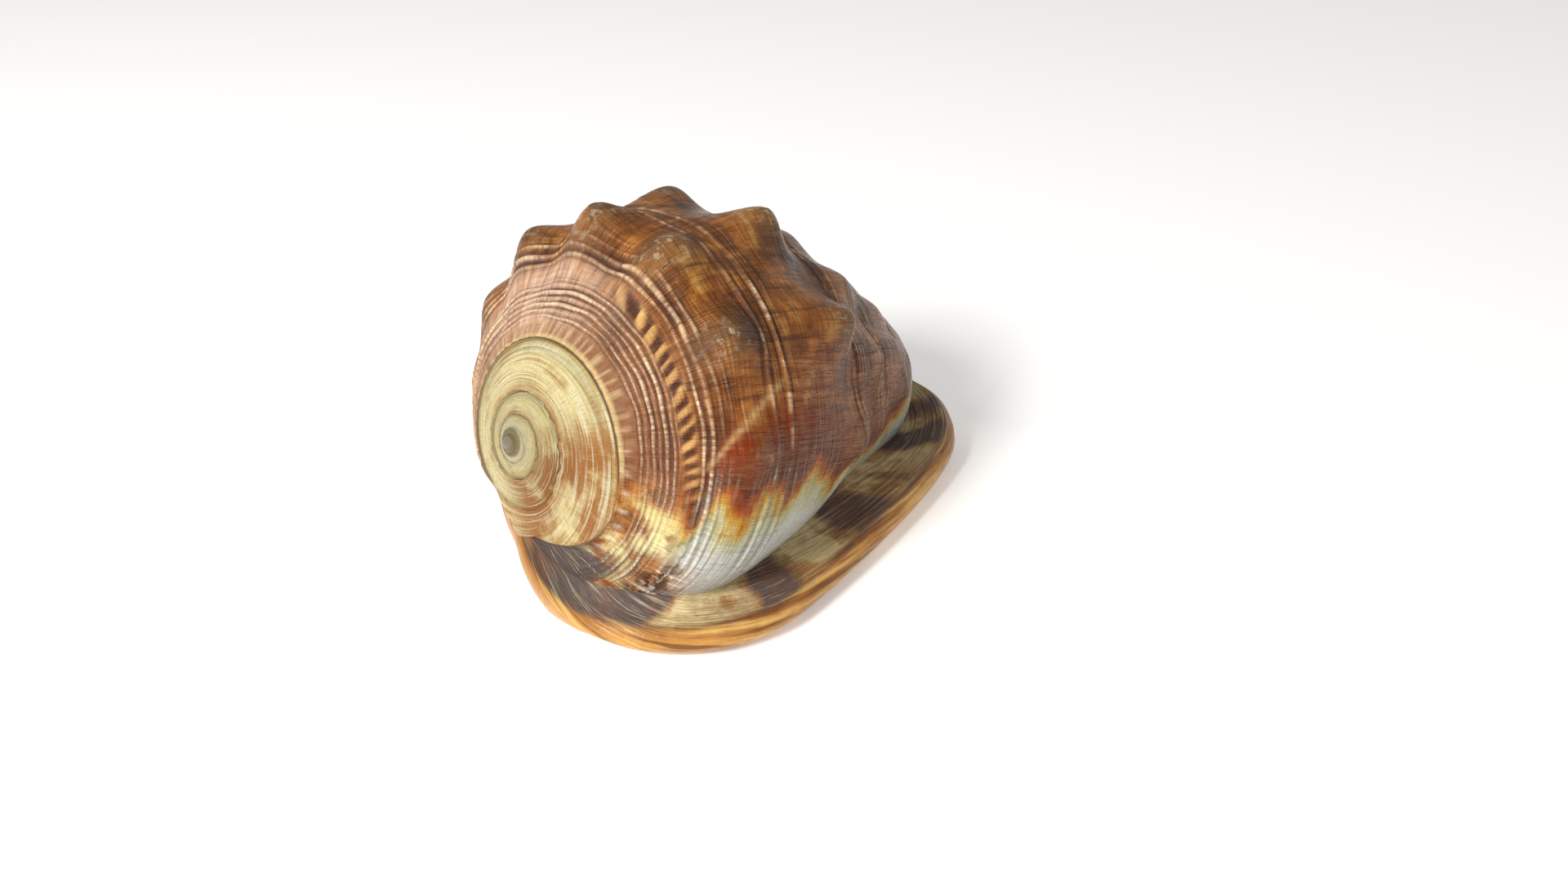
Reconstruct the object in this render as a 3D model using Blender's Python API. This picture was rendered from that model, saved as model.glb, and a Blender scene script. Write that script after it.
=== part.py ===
"""Helmet shell, lying on its aperture: one grown piece, lofted as a closed skin.

The shell frame has its origin at the apex and +X along the coil axis towards the
front canal. Angles are turned about that axis: 0 is the back of the shell (up),
+90 degrees is the lip side (-Y) and -90 degrees is the shield side (+Y).
Tables are in millimetres and degrees. The world frame is metres with +Z up.
"""
import math

import bmesh
import bpy
import numpy as np

NAME = "helmet_shell"
MM = 0.001
AXIS_PITCH = math.radians(18.9)   # the coil axis dips towards the canal
APEX_HEIGHT = 50.0                # apex above the table

# Last suture: a log spiral, which the lip's rear end covers from TUCK_ANGLES on.
SUTURE_RADIUS = 26.6
SUTURE_GROWTH = 0.13
SUTURE_GROWTH_GAIN = 0.0029
SUTURE_TUCK = 0.42
TUCK_ANGLES = (1.65, 3.0)
SPIRE_SLOPE = 0.44
SPIRE_FLATTENING = 0.0057

# Last whorl: for each station the distance along the axis, how far the section's
# centre is bent upwards, and the radius at each of RING_ANGLES.
RING_ANGLES = (-150, -120, -60, 0, 60, 110, 150)
RINGS = (
    (0.06, 11.0, 0.0, (22.0, 25.0, 30.5, 34.5, 38.5, 38.5, 36.0)),
    (0.14, 17.5, 0.0, (29.5, 33.5, 40.5, 45.0, 48.5, 47.0, 42.0)),
    (0.22, 26.0, 0.0, (38.0, 42.0, 50.0, 55.0, 56.5, 53.0, 46.0)),
    (0.32, 39.0, 0.0, (43.0, 46.0, 54.0, 60.0, 60.0, 54.0, 46.0)),
    (0.44, 56.0, 0.0, (44.0, 47.0, 55.5, 61.0, 59.0, 50.0, 43.0)),
    (0.56, 74.0, 0.0, (42.0, 44.0, 51.0, 57.5, 53.5, 44.0, 38.0)),
    (0.68, 92.0, 2.0, (35.0, 37.0, 43.5, 50.0, 46.0, 37.0, 32.0)),
    (0.80, 112.0, 4.0, (27.0, 29.0, 34.5, 39.5, 38.0, 31.5, 26.0)),
    (0.90, 132.0, 8.0, (18.0, 19.0, 23.0, 26.5, 28.5, 26.0, 20.0)),
    (1.00, 150.0, 13.0, (8.0, 8.0, 8.0, 8.0, 9.0, 9.0, 8.0)),
)
COIL_ADVANCE = 1.0                # mm along the axis for each radian of growth

# Where the last whorl's back ends, as (station, degrees): at the flange on the
# lip side and at the shield on the other.
FLANGE_ANGLE = ((0, 172), (.03, 160), (.06, 148), (.1, 137), (.14, 130), (.22, 121),
                (.32, 118), (.44, 112), (.56, 106), (.68, 101), (.8, 98), (.9, 98), (1, 98))
SHIELD_ANGLE = ((0, -152), (.03, -150), (.06, -147), (.1, -143), (.16, -137), (.25, -130),
                (.4, -124), (.56, -118), (.68, -115), (.8, -113), (1, -113))

# Curves along the underside, world axes: (station, x, y, z or width).
RIM = ((0, .5, -5.5, 15), (.03, -1.6, -8.5, 12), (.07, -3.6, -18, 9), (.12, -2.2, -29, 7.5),
       (.18, 3, -40, 7), (.25, 11, -50, 7), (.32, 21.5, -57.5, 7), (.4, 36, -61.5, 7),
       (.5, 58, -60.2, 7), (.6, 80, -57.2, 7.5), (.7, 101.5, -53.4, 8), (.79, 120, -48.6, 9),
       (.85, 131, -44, 10), (.9, 139, -37, 11.5), (.95, 146, -25, 13), (1, 148, -6, 14))
SLIT = ((0, .9, -3.5, 0), (.03, .2, -3.5, 1.5), (.07, .6, -6.5, 3), (.12, 4, -13, 5.5),
        (.18, 9, -20, 8), (.25, 17, -26, 10), (.32, 26, -29.5, 10.5), (.4, 38, -31.5, 11),
        (.5, 57, -31, 11), (.6, 77, -28, 11), (.7, 97, -23, 10.5), (.79, 114, -18, 10),
        (.85, 125, -14, 9), (.9, 134, -11, 7.5), (.95, 142, -8, 5), (1, 148, -6, 0))
SHIELD = ((0, 1.5, -2, 31), (.03, 1.4, 0, 21), (.07, 2.6, 4.5, 11), (.12, 6.5, 11.5, 6),
          (.18, 12.5, 21, 3.6), (.25, 20, 31, 2.8), (.32, 27, 39, 2.6), (.4, 39, 43.5, 2.6),
          (.5, 57, 45, 2.6), (.6, 77, 42, 2.6), (.7, 97, 36.5, 2.8), (.79, 114, 29, 3.4),
          (.85, 125, 23, 4.5), (.9, 134, 17, 6.5), (.95, 143, 8, 9.5), (1, 148, -6, 14))
SOLE = ((0, 22), (.03, 11), (.07, 5), (.12, 1.6), (.17, -.2), (.22, -.4), (.8, -.4), (.86, -.3),
        (.9, .8), (.95, 4.5), (1, 14))
HOLLOW_DEPTH = ((0, 0), (.06, 0), (.09, 0), (.12, 4), (.16, 11), (.22, 22), (.3, 32), (.45, 36),
                (.6, 30), (.75, 20), (.85, 12), (.92, 6), (.97, 2), (1, 0))
EDGE_SIZE = ((0, 0), (.03, .15), (.06, .45), (.1, .8), (.15, 1), (.85, 1), (.93, .6), (1, 0))

REAR_END = 0.09                  # station where the lip's rear end is fully formed
REAR_SWELL = (-1.5, 0.0, -1.0)    # how far that end stands out behind the spire
RIM_ROLL = 3.0                    # half the rolled rim's width
RIM_CREST = 3.0
RIM_UNDERCUT = 5.0
FLANGE_DISH = 1.0
LIP_EDGE_ROUND = 2.2
SHIELD_EDGE = 3.0

# Knobs: rows of (station at the back, station gained by the lip, first angle, angle
# between knobs, count, height). A knob is a blunt cone of KNOB_RADIUS that runs out
# towards the suture. They grow with the shell, and sink again near the lip.
KNOB_ROWS = (
    (0.215, 0.010, -116.0, 27.0, 8, 7.6),
    (0.458, 0.120, -109.0, 30.5, 7, 7.8),
    (0.640, 0.080, -74.0, 25.0, 7, 3.6),
    (0.800, 0.040, -72.0, 20.0, 8, 2.2),
)
KNOB_RADIUS = 7.0
KNOB_POINT = 1.8
KNOB_RUN_OUT = 0.55
KNOB_GROWTH_ANGLES = (-2.1, 0.0)
KNOB_SINK_ANGLES = (0.5, 1.6)
KNOB_SINK = 0.5
ROW_CLIMB_ANGLES = (0.2, 1.6)

# Teeth along both sides of the slit: how many there would be over the whole
# length, how far they reach into it, and the stations where they fade out.
TEETH = 25
TOOTH_REACH = 1.1
TEETH_SPAN = (0.14, 0.86)

# Middle of the shell's box, which becomes the origin.
BOX_MIDDLE = (71.628, -3.865)

# Mesh grid
SPIRE_ROWS = 9
BODY_ROWS = 50
BACK_COLUMNS = 53
UNDERSIDE_STEPS = (3, 2, 2, 1, 2, 2, 1, 1, 1, 2, 2, 1, 1, 1, 3, 1, 1, 2, 1)

SHELL_BROWN = (0.31, 0.125, 0.043, 1.0)


def along(table, station, column=1):
    """Smooth curve through one column of a table of (station, values)."""
    knots = np.array([row[0] for row in table], float)
    values = np.array([row[column] for row in table], float)
    return hermite(knots, lambda i: values[i], station)


def hermite(knots, value, x):
    """Catmull-Rom curve: value(i) gives the value at knot i, of the shape of x."""
    x = np.asarray(x, float)
    last = len(knots) - 1
    b = np.clip(np.searchsorted(knots, x, side="right") - 1, 0, last - 1)
    a, c, d = np.maximum(b - 1, 0), b + 1, np.minimum(b + 2, last)
    span = knots[c] - knots[b]
    t = (x - knots[b]) / span
    before = (value(c) - value(a)) / (knots[c] - knots[a])
    after = (value(d) - value(b)) / (knots[d] - knots[b])
    return ((2 * t**3 - 3 * t**2 + 1) * value(b) + (t**3 - 2 * t**2 + t) * span * before
            + (3 * t**2 - 2 * t**3) * value(c) + (t**3 - t**2) * span * after)


def ease(start, end, x):
    """Smooth step from 0 at start to 1 at end."""
    t = np.clip((x - start) / (end - start), 0, 1)
    return t * t * (3 - 2 * t)


def to_world(x, radius, angle, rise=0.0):
    """Point at a distance along the coil axis, a radius and an angle about it."""
    y = -radius * np.sin(angle)
    z = radius * np.cos(angle) + rise
    c, s = math.cos(AXIS_PITCH), math.sin(AXIS_PITCH)
    return np.stack([x * c + z * s, y, z * c - x * s + APEX_HEIGHT], -1)


def suture_radius(angle):
    """Radius of the last suture, which draws in where the lip covers the spire."""
    growth = SUTURE_GROWTH * angle + SUTURE_GROWTH_GAIN * angle**2
    return SUTURE_RADIUS * np.exp(growth) * (1 - SUTURE_TUCK * ease(*TUCK_ANGLES, angle))


def spire_depth(radius):
    """Distance along the axis of the spire's low cone at a radius."""
    return SPIRE_SLOPE * radius - SPIRE_FLATTENING * radius**2


def spire(scale, angle):
    """Spire: the last suture drawn in towards the apex by scale."""
    radius = suture_radius(angle) * scale
    return to_world(spire_depth(radius), radius, angle)


def last_whorl(station, angle):
    """Last whorl's plain surface: radii from the ring table, from the suture on."""
    knots = np.array([0.0] + [ring[0] for ring in RINGS])
    ring_angles = np.radians(RING_ANGLES)
    inside = np.clip(angle, ring_angles[0], ring_angles[-1])
    start = suture_radius(angle)
    radii, places = [start], [spire_depth(start)]
    for ring_station, place, _, ring_radii in RINGS:
        values = np.array(ring_radii)
        radii.append(hermite(ring_angles, lambda i: values[i], inside))
        places.append(place + COIL_ADVANCE * angle * (1 - ring_station))
    radii, places = np.stack(radii), np.stack(places)
    rises = np.array([0.0] + [ring[2] for ring in RINGS])
    cell = tuple(np.indices(angle.shape))
    radius = hermite(knots, lambda i: radii[(i,) + cell], station)
    place = hermite(knots, lambda i: places[(i,) + cell], station)
    rise = hermite(knots, lambda i: rises[i], station)
    return to_world(place, radius, angle, rise)


def surface_normals(points):
    """Outward unit normals of a grid of points, from its two directions."""
    down = np.gradient(points, axis=0)
    across = np.gradient(points, axis=1)
    normal = np.cross(across, down)
    return normal / (np.linalg.norm(normal, axis=-1, keepdims=True) + 1e-9)


def knob_height(points):
    """Highest of the blunt cones that stand on the knob rows."""
    height = np.zeros(points.shape[:-1])
    for station, climb, first, step, count, size in KNOB_ROWS:
        for k in range(count):
            angle = np.array([math.radians(first + step * k)])
            place = station + climb * ease(*ROW_CLIMB_ANGLES, angle)
            centre = last_whorl(place, angle)[0]
            to_suture = last_whorl(place - 0.01, angle)[0] - centre
            to_suture = to_suture / np.linalg.norm(to_suture)
            offset = points - centre
            run = np.maximum(offset @ to_suture, 0) * (1 - KNOB_RUN_OUT)
            gap = np.linalg.norm(offset - run[..., None] * to_suture, axis=-1)
            share = ease(*KNOB_GROWTH_ANGLES, angle)
            share = share * (1 - KNOB_SINK * ease(*KNOB_SINK_ANGLES, angle))
            cone = size * share * np.exp(-(gap / KNOB_RADIUS)**KNOB_POINT)
            height = np.maximum(height, cone)
    return height


def curve_points(table, station):
    """World points of one of the underside curves."""
    return np.stack([along(table, station, k) for k in (1, 2, 3)], -1)


def inward(table, station):
    """Level unit vector square to a curve, on its +Y side."""
    step = 1e-3
    ahead = curve_points(table, np.clip(station + step, 0, 1))
    behind = curve_points(table, np.clip(station - step, 0, 1))
    way = (ahead - behind)[:, :2]
    way = way / (np.linalg.norm(way, axis=1, keepdims=True) + 1e-9)
    return np.stack([-way[:, 1], way[:, 0], 0 * station], -1)


def underside_keys(station, flange, shield_top):
    """Points that the underside section runs through, from flange to shield.

    They go over the flange and the rolled rim, across the lip's sole to the slit,
    up the hollow and down along the columella, and across the shield.
    """
    up = np.array([0, 0, 1.0])
    rim, slit, shield = (curve_points(t, station) for t in (RIM, SLIT, SHIELD))
    to_body, across, to_back = (inward(t, station) for t in (RIM, SLIT, SHIELD))
    size = along(EDGE_SIZE, station)[:, None]
    sole = along(SOLE, station)[:, None]
    deep = along(HOLLOW_DEPTH, station)[:, None]
    fade = ease(TEETH_SPAN[0], TEETH_SPAN[0] + 0.05, station)
    fade = fade * ease(1 - TEETH_SPAN[1], 1.05 - TEETH_SPAN[1], 1 - station)
    tooth = TOOTH_REACH * np.cos(2 * math.pi * TEETH * station) * fade
    half = slit[:, 2:3] / 2
    gap = half - tooth[:, None]
    middle = np.concatenate([slit[:, :2], sole], 1)
    edge_rise = np.minimum(LIP_EDGE_ROUND * size, 0.2 * deep)

    crest = rim + to_body * RIM_ROLL * size + up * RIM_CREST * size
    dish = 0.5 * flange + 0.5 * crest - up * FLANGE_DISH * size
    foot = np.concatenate([(rim + to_body * RIM_UNDERCUT * size)[:, :2], sole], 1)
    lip_edge = middle - across * (gap + LIP_EDGE_ROUND * size)
    open_share = np.clip(deep / 12, 0, 1)
    lean = size * open_share
    near_side = half * (0.7 + 0.3 * open_share)
    far_side = half * (0.35 + 0.65 * open_share)
    hollow = [
        middle - across * gap + up * edge_rise,
        middle - across * (near_side + 1.2 * lean) + up * 0.40 * deep,
        middle - across * (far_side + 2.0 * lean) + up * 0.78 * deep,
        middle - across * 1.0 * lean + up * deep,
        middle + across * (far_side - 1.0 * lean) + up * 0.78 * deep,
        middle + across * near_side + up * 0.40 * deep,
        middle + across * gap + up * edge_rise,
    ]
    shield_inner = middle + across * (gap + LIP_EDGE_ROUND * size)
    shield_foot = np.concatenate([(shield - to_back * SHIELD_EDGE * size)[:, :2], sole], 1)
    shoulder = 0.35 * shield + 0.65 * shield_top - up * 1.2 * size
    return np.stack([
        flange, dish, crest, rim, foot, 0.5 * (foot + lip_edge), lip_edge, *hollow,
        shield_inner, 0.5 * (shield_inner + shield_foot), shield_foot, shield, shoulder,
        shield_top])


def underside(station, back):
    """Columns of the underside, and the share of each key segment they are at."""
    flange, shield_top = back[:, -1], back[:, 0]
    keys = underside_keys(station, flange, shield_top)
    before = flange + back[:, -2] - back[:, -1]
    after = shield_top + back[:, 1] - back[:, 0]
    keys = np.concatenate([before[None], keys, after[None]])
    share = np.concatenate([k + np.arange(n) / n for k, n in enumerate(UNDERSIDE_STEPS)])[1:]
    k = share.astype(int)
    t = (share - k)[:, None, None]
    chord = np.linalg.norm(np.diff(keys, axis=0), axis=-1, keepdims=True) + 1e-9
    way = np.diff(keys, axis=0) / chord
    turn = (way[:-1] * chord[1:] + way[1:] * chord[:-1]) / (chord[:-1] + chord[1:])
    reach = chord[k + 1]
    points = ((2 * t**3 - 3 * t**2 + 1) * keys[k + 1] + (t**3 - 2 * t**2 + t) * reach * turn[k]
              + (3 * t**2 - 2 * t**3) * keys[k + 2] + (t**3 - t**2) * reach * turn[k + 1])
    points = np.swapaxes(points, 0, 1)
    points[..., 2] = np.maximum(points[..., 2], 0)
    return points


def back_of(station, column):
    """Last whorl's back for each station: its columns run from shield to flange."""
    first = np.radians(along(SHIELD_ANGLE, station))[:, None]
    final = np.radians(along(FLANGE_ANGLE, station))[:, None]
    angle = first + (final - first) * column
    rows = np.repeat(station[:, None], len(column), 1)
    return last_whorl(rows, angle), angle


def fill_between(start, end, count):
    """Evenly spaced points between two columns of points, ends left out."""
    line = np.linspace(0, 1, count + 2)[1:-1][None, :, None]
    return start[:, None] * (1 - line) + end[:, None] * line


def seam(scale, count):
    """Spire's edge under the lip's rear end, from the flange round to the shield,
    drawn in towards the apex by scale."""
    line = np.linspace(0, 1, count + 2)[1:-1]
    final, first = math.radians(FLANGE_ANGLE[0][1]), math.radians(SHIELD_ANGLE[0][1])
    angle = final * (1 - line) + (first + 2 * math.pi) * line
    outer, inner = suture_radius(np.array([final, first]))
    radius = scale * (outer * (1 - line) + inner * line)
    return to_world(spire_depth(radius), radius, angle + 0 * radius)


def whole_underside(station, back, column):
    """Underside rows. They start from the seam, and up to REAR_END they turn from it
    into the section found there."""
    points = underside(station, back)
    count = points.shape[1]
    rear = np.array([REAR_END])
    rear_back = back_of(rear, column)[0]
    goal = underside(rear, rear_back)
    part = (station / REAR_END)[:, None, None]
    morph = seam(np.ones((1, 1)), count) * (1 - part) + goal * part
    part = part[:, 0]
    flange_gap = back[:, -1] - (back[:1, -1] * (1 - part) + rear_back[:, -1] * part)
    shield_gap = back[:, 0] - (back[:1, 0] * (1 - part) + rear_back[:, 0] * part)
    morph = morph + fill_between(flange_gap, shield_gap, count)
    line = np.linspace(0, 1, count + 2)[1:-1][:, None]
    swell = np.sin(math.pi * np.clip(part, 0, 1))[:, None] * ease(0, 0.2, line) * ease(0, 0.2, 1 - line)
    morph = morph + swell * np.array(REAR_SWELL)
    return np.where(part[:, None] < 1, morph, points)


def shell_grid():
    """All rows of the skin, apex side first, each a closed loop of columns."""
    station = np.linspace(0, 1, BODY_ROWS + 1)[:-1]
    column = np.linspace(0, 1, BACK_COLUMNS)
    back, angle = back_of(station, column)
    under = whole_underside(station, back, column)
    edge = ease(0, 0.08, column) * ease(0, 0.08, 1 - column)
    lift = knob_height(back) * edge * ease(0, 0.08, station)[:, None]
    back = back + surface_normals(back) * lift[..., None]
    body = np.concatenate([back, under], 1)
    apex = to_world(np.array([0.0]), np.array([0.0]), np.array([0.0]))[0]
    scale = (np.arange(1, SPIRE_ROWS) / SPIRE_ROWS)[:, None]
    whorls = spire(scale, angle[:1])
    spire_rows = np.concatenate([whorls, seam(scale, under.shape[1])], 1)
    return apex, np.concatenate([spire_rows, body])


def build_shell(collection, material):
    """Close the grid with a fan at the apex and another at the canal tip."""
    apex, grid = shell_grid()
    middle = np.array([*BOX_MIDDLE, 0.0])
    apex, grid = apex - middle, grid - middle
    rows, columns = grid.shape[:2]
    tip = grid[-1].mean(0) + np.array([2.0, 0.0, 0.6])
    mesh = bmesh.new()
    skin = [[mesh.verts.new(point * MM) for point in row] for row in grid]
    apex_vertex = mesh.verts.new(apex * MM)
    tip_vertex = mesh.verts.new(tip * MM)
    for j in range(columns):
        n = (j + 1) % columns
        mesh.faces.new((apex_vertex, skin[0][n], skin[0][j]))
        mesh.faces.new((tip_vertex, skin[-1][j], skin[-1][n]))
        for i in range(rows - 1):
            mesh.faces.new((skin[i][j], skin[i][n], skin[i + 1][n], skin[i + 1][j]))
    bmesh.ops.recalc_face_normals(mesh, faces=mesh.faces)
    bmesh.ops.triangulate(mesh, faces=mesh.faces)
    data = bpy.data.meshes.new("shell")
    mesh.to_mesh(data)
    mesh.free()
    data.shade_smooth()
    data.materials.append(material)
    shell = bpy.data.objects.new("shell", data)
    collection.objects.link(shell)
    return shell


def glazed_shell_material():
    material = bpy.data.materials.new("glossy_shell")
    material.use_nodes = True
    surface = material.node_tree.nodes["Principled BSDF"]
    surface.inputs["Base Color"].default_value = SHELL_BROWN
    surface.inputs["Roughness"].default_value = 0.32
    surface.inputs["Metallic"].default_value = 0.0
    return material


for thing in list(bpy.data.objects):
    bpy.data.objects.remove(thing)
shells = bpy.data.collections.new(NAME)
bpy.context.scene.collection.children.link(shells)
build_shell(shells, glazed_shell_material())
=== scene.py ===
"""Studio scene of a knobbed helmet shell lying on its aperture."""
import math
import bpy
import numpy as np
from mathutils import Matrix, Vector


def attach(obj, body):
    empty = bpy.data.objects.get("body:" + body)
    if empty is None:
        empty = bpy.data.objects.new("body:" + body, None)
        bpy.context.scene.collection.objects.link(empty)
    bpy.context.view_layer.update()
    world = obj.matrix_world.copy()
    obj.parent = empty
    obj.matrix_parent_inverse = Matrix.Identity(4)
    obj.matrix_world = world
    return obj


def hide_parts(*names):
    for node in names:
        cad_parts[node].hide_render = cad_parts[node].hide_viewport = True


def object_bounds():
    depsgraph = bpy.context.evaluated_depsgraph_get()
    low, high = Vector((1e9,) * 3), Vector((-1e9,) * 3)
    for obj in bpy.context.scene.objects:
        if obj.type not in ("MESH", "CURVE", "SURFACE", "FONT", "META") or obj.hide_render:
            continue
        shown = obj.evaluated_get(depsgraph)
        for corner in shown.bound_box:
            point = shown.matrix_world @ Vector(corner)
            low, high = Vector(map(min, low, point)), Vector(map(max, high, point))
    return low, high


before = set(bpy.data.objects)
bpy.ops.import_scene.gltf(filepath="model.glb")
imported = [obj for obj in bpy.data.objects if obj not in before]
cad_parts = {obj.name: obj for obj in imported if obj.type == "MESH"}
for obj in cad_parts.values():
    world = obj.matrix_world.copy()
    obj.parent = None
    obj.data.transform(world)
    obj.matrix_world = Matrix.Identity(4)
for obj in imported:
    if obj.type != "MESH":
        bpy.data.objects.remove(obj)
cad_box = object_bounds()

# Growth plan. The shell is one piece of aragonite that grew as a coil which turns
# about an axis from the apex to the front canal. Lengths are in millimetres,
# angles are about the axis from the back, positive towards the outer lip.
MM = 0.001
AXIS_PITCH = math.radians(18.9)
APEX_HEIGHT = 50.0
BOX_MIDDLE = (71.628, -3.865)
SUTURE_RADIUS = 26.6
SUTURE_GROWTH = 0.13
SUTURE_GROWTH_GAIN = 0.0029
SPIRE_SLOPE = 0.44
SPIRE_FLATTENING = 0.0057
SUTURE_TUCK = 0.42
TUCK_ANGLES = (1.65, 3.0)


def ease(start, end, x):
    """Smooth step: 3t^2 - 2t^3, with t running from 0 at start to 1 at end."""
    t = np.clip((x - start) / (end - start), 0, 1)
    return t * t * (3 - 2 * t)


def to_world(place, radius, angle, rise=0.0):
    """Point at a place on the axis and a radius at an angle about it, then turned
    by the axis pitch, lifted by the apex height and moved to the box's middle."""
    y = -radius * np.sin(angle)
    z = radius * np.cos(angle) + rise
    c, s = math.cos(AXIS_PITCH), math.sin(AXIS_PITCH)
    world_x = place * c + z * s - BOX_MIDDLE[0]
    return np.stack([world_x, y - BOX_MIDDLE[1], z * c - place * s + APEX_HEIGHT], -1)


def suture_log(angle):
    """Log of the suture's radius: a + b angle + c angle^2 over the last turn, and
    its tangent line before that, so the early whorls are a plain log spiral."""
    bend = np.maximum(angle, -2 * math.pi)
    slope = SUTURE_GROWTH + 2 * SUTURE_GROWTH_GAIN * bend
    value = SUTURE_GROWTH * bend + SUTURE_GROWTH_GAIN * bend**2
    return math.log(SUTURE_RADIUS) + value + slope * (angle - bend)


def suture_angle(log_radius):
    """Inverse of suture_log: the root of the quadratic, or the tangent line's."""
    b, c = SUTURE_GROWTH, SUTURE_GROWTH_GAIN
    rest = log_radius - math.log(SUTURE_RADIUS)
    root = (-b + np.sqrt(np.maximum(b * b + 4 * c * rest, 0))) / (2 * c)
    joint = -2 * math.pi
    slope = b + 2 * c * joint
    line = joint + (rest - b * joint - c * joint**2) / slope
    return np.where(rest > b * joint + c * joint**2, root, line)


def tuck(angle):
    """Factor by which the suture draws in where the lip's rear end covers it."""
    return 1 - SUTURE_TUCK * ease(*TUCK_ANGLES, angle)


def suture_radius(angle):
    """Radius of the last suture at an angle."""
    return np.exp(suture_log(angle)) * tuck(angle)


def cone(radius):
    """Place on the axis of the low spire cone: a radius minus b radius squared."""
    return SPIRE_SLOPE * radius - SPIRE_FLATTENING * radius**2


# Last whorl. The big swollen whorl carries the knobs. Its sections are given at
# ten stations from the suture (0) to the canal (1), and a smooth curve joins them.
RING_ANGLES = np.radians([-150, -120, -60, 0, 60, 110, 150])
RINGS = (
    (0.06, 11.0, 0.0, (22.0, 25.0, 30.5, 34.5, 38.5, 38.5, 36.0)),
    (0.14, 17.5, 0.0, (29.5, 33.5, 40.5, 45.0, 48.5, 47.0, 42.0)),
    (0.22, 26.0, 0.0, (38.0, 42.0, 50.0, 55.0, 56.5, 53.0, 46.0)),
    (0.32, 39.0, 0.0, (43.0, 46.0, 54.0, 60.0, 60.0, 54.0, 46.0)),
    (0.44, 56.0, 0.0, (44.0, 47.0, 55.5, 61.0, 59.0, 50.0, 43.0)),
    (0.56, 74.0, 0.0, (42.0, 44.0, 51.0, 57.5, 53.5, 44.0, 38.0)),
    (0.68, 92.0, 2.0, (35.0, 37.0, 43.5, 50.0, 46.0, 37.0, 32.0)),
    (0.80, 112.0, 4.0, (27.0, 29.0, 34.5, 39.5, 38.0, 31.5, 26.0)),
    (0.90, 132.0, 8.0, (18.0, 19.0, 23.0, 26.5, 28.5, 26.0, 20.0)),
    (1.00, 150.0, 13.0, (8.0, 8.0, 8.0, 8.0, 9.0, 9.0, 8.0)),
)
COIL_ADVANCE = 1.0
FLANGE_ANGLE = ((0, 172), (.03, 160), (.06, 148), (.1, 137), (.14, 130), (.22, 121),
                (.32, 118), (.44, 112), (.56, 106), (.68, 101), (.8, 98), (.9, 98), (1, 98))
SHIELD_ANGLE = ((0, -152), (.03, -150), (.06, -147), (.1, -143), (.16, -137), (.25, -130),
                (.4, -124), (.56, -118), (.68, -115), (.8, -113), (1, -113))
BACK_COLUMNS = 226
ROWS_BY_STATION = ((0.0, 0.22, 82), (0.22, 0.70, 108), (0.70, 0.985, 46))


def hermite(knots, value, x):
    """Catmull-Rom curve through knots: value(i) gives knot i's value in x's shape."""
    last = len(knots) - 1
    b = np.clip(np.searchsorted(knots, x, side="right") - 1, 0, last - 1)
    a, c, d = np.maximum(b - 1, 0), b + 1, np.minimum(b + 2, last)
    span = knots[c] - knots[b]
    t = (x - knots[b]) / span
    before = (value(c) - value(a)) / (knots[c] - knots[a])
    after = (value(d) - value(b)) / (knots[d] - knots[b])
    return ((2 * t**3 - 3 * t**2 + 1) * value(b) + (t**3 - 2 * t**2 + t) * span * before
            + (3 * t**2 - 2 * t**3) * value(c) + (t**3 - t**2) * span * after)


def along(table, station, column=1):
    """One column of a table of (station, values) as a smooth curve."""
    knots = np.array([row[0] for row in table], float)
    values = np.array([row[column] for row in table], float)
    return hermite(knots, lambda i: values[i], station)


def last_whorl(station, angle):
    """Plain surface of the last whorl: the radius and place of each ring at the
    angle, then a smooth curve through the rings at the station."""
    knots = np.array([0.0] + [ring[0] for ring in RINGS])
    inside = np.clip(angle, RING_ANGLES[0], RING_ANGLES[-1])
    start = suture_radius(angle)
    radii, places = [start], [cone(start)]
    for ring_station, place, _, ring_radii in RINGS:
        values = np.array(ring_radii)
        radii.append(hermite(RING_ANGLES, lambda i: values[i], inside))
        places.append(place + COIL_ADVANCE * angle * (1 - ring_station))
    radii, places = np.stack(radii), np.stack(places)
    rises = np.array([0.0] + [ring[2] for ring in RINGS])
    cell = tuple(np.indices(angle.shape))
    radius = hermite(knots, lambda i: radii[(i,) + cell], station)
    place = hermite(knots, lambda i: places[(i,) + cell], station)
    return to_world(place, radius, angle, hermite(knots, lambda i: rises[i], station))


def back_of(station, column):
    """Grid of the last whorl's back: columns run evenly from shield to flange."""
    first = np.radians(along(SHIELD_ANGLE, station))[:, None]
    final = np.radians(along(FLANGE_ANGLE, station))[:, None]
    angle = first + (final - first) * column
    return last_whorl(np.repeat(station[:, None], len(column), 1), angle), angle


station = np.concatenate([np.linspace(a, b, n, endpoint=False) for a, b, n in ROWS_BY_STATION])
column = np.linspace(0, 1, BACK_COLUMNS)
back, angle = back_of(station, column)

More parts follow.
